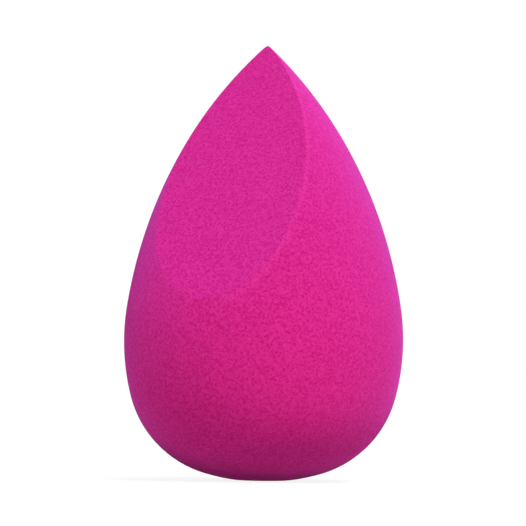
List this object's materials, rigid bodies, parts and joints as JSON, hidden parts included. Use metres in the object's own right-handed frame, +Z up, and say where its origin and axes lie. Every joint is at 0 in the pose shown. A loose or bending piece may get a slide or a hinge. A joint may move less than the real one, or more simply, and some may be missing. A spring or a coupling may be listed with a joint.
{
  "type": "makeup sponge",
  "caption": "Teardrop of soft foam with a rounded base, a pointed tip and a slanted flat sliced from the tip, held in the fingers to dab and blend cosmetics.",
  "frame": {"origin": "middle of the flat patch that the rounded base rests on", "axes": "+Z up the drop's axis to the tip; the slanted flat faces -Y and up; the drop mirrors across the plane X = 0"},
  "size_m": [0.04, 0.04, 0.0637],
  "materials": {
    "foam": "matte"
  },
  "bodies": {
    "root": {"foam_body": "foam"}
  },
  "joints": []
}
